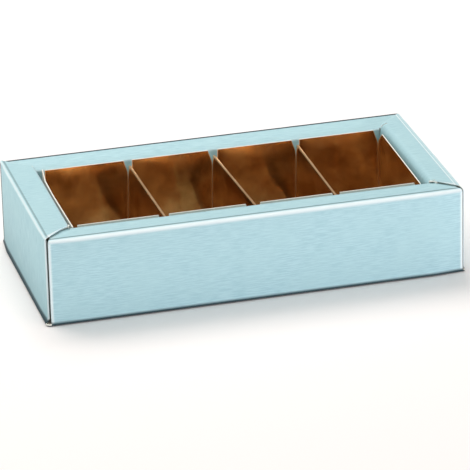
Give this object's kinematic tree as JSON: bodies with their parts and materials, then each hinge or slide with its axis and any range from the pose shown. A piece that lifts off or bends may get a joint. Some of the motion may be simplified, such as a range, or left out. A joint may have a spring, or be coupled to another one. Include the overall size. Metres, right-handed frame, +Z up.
{
  "type": "oblong praline box",
  "caption": "Shallow oblong box: a folded card frame with a mitred rim round an open window, holding a lift-out divided insert of gold card with folding side flaps.",
  "frame": {"origin": "centre of the base, on the underside", "axes": "+X along the length to the right of the picture's long front wall, +Y from that front wall to the rear, +Z up out of the window"},
  "size_m": [0.15, 0.077, 0.032],
  "materials": {
    "blue_card": "pale blue silk-finish card with a fine woven grain",
    "gold_card": "glossy gold film laminated on the inner face, plain white board on the reverse"
  },
  "bodies": {
    "frame": {"base_panel": "blue_card", "front_wall": "blue_card", "front_rim": "blue_card", "front_lining": "blue_card", "right_wall": "blue_card", "right_rim": "blue_card", "right_lining": "blue_card", "rear_wall": "blue_card", "rear_rim": "blue_card", "rear_lining": "blue_card", "left_wall": "blue_card", "left_rim": "blue_card", "left_lining": "blue_card"},
    "insert": {"floor_1": "gold_card", "floor_2": "gold_card", "floor_3": "gold_card", "floor_4": "gold_card", "divider_1": "gold_card", "divider_2": "gold_card", "divider_3": "gold_card"},
    "front_flap_1": {"front_flap_1": "gold_card"},
    "front_flap_2": {"front_flap_2": "gold_card"},
    "front_flap_3": {"front_flap_3": "gold_card"},
    "front_flap_4": {"front_flap_4": "gold_card"},
    "rear_flap_1": {"rear_flap_1": "gold_card"},
    "rear_flap_2": {"rear_flap_2": "gold_card"},
    "rear_flap_3": {"rear_flap_3": "gold_card"},
    "rear_flap_4": {"rear_flap_4": "gold_card"},
    "left_end_flap": {"left_end_flap": "gold_card"},
    "right_end_flap": {"right_end_flap": "gold_card"}
  },
  "joints": [
    {"name": "insert_lift", "type": "slide", "parent": "frame", "child": "insert", "axis": [0, 0, 1], "range_m": [0, 0.045]},
    {"name": "front_flap_1_fold", "type": "hinge", "parent": "insert", "child": "front_flap_1", "pos_m": [-0.0462, -0.0279, 0.0011], "axis": [-1, 0, 0], "range_deg": [-3.8, 60], "stiffness_Nm_per_rad": 0.002},
    {"name": "front_flap_2_fold", "type": "hinge", "parent": "insert", "child": "front_flap_2", "pos_m": [-0.0148, -0.0279, 0.0011], "axis": [-1, 0, 0], "range_deg": [-3.8, 60], "stiffness_Nm_per_rad": 0.002},
    {"name": "front_flap_3_fold", "type": "hinge", "parent": "insert", "child": "front_flap_3", "pos_m": [0.0166, -0.0279, 0.0011], "axis": [-1, 0, 0], "range_deg": [-3.8, 60], "stiffness_Nm_per_rad": 0.002},
    {"name": "front_flap_4_fold", "type": "hinge", "parent": "insert", "child": "front_flap_4", "pos_m": [0.048, -0.0279, 0.0011], "axis": [-1, 0, 0], "range_deg": [-3.8, 60], "stiffness_Nm_per_rad": 0.002},
    {"name": "rear_flap_1_fold", "type": "hinge", "parent": "insert", "child": "rear_flap_1", "pos_m": [-0.0462, 0.0279, 0.0011], "axis": [1, 0, 0], "range_deg": [-3.8, 60], "stiffness_Nm_per_rad": 0.002},
    {"name": "rear_flap_2_fold", "type": "hinge", "parent": "insert", "child": "rear_flap_2", "pos_m": [-0.0148, 0.0279, 0.0011], "axis": [1, 0, 0], "range_deg": [-3.8, 60], "stiffness_Nm_per_rad": 0.002},
    {"name": "rear_flap_3_fold", "type": "hinge", "parent": "insert", "child": "rear_flap_3", "pos_m": [0.0166, 0.0279, 0.0011], "axis": [1, 0, 0], "range_deg": [-3.8, 60], "stiffness_Nm_per_rad": 0.002},
    {"name": "rear_flap_4_fold", "type": "hinge", "parent": "insert", "child": "rear_flap_4", "pos_m": [0.048, 0.0279, 0.0011], "axis": [1, 0, 0], "range_deg": [-3.8, 60], "stiffness_Nm_per_rad": 0.002},
    {"name": "left_end_flap_rock", "type": "hinge", "parent": "insert", "child": "left_end_flap", "pos_m": [-0.0619, 0, 0.0011], "axis": [0, 1, 0], "range_deg": [-1.1, 0.4], "stiffness_Nm_per_rad": 0.004},
    {"name": "right_end_flap_rock", "type": "hinge", "parent": "insert", "child": "right_end_flap", "pos_m": [0.0637, 0, 0.0011], "axis": [0, -1, 0], "range_deg": [-1.6, 0.4], "stiffness_Nm_per_rad": 0.004}
  ]
}
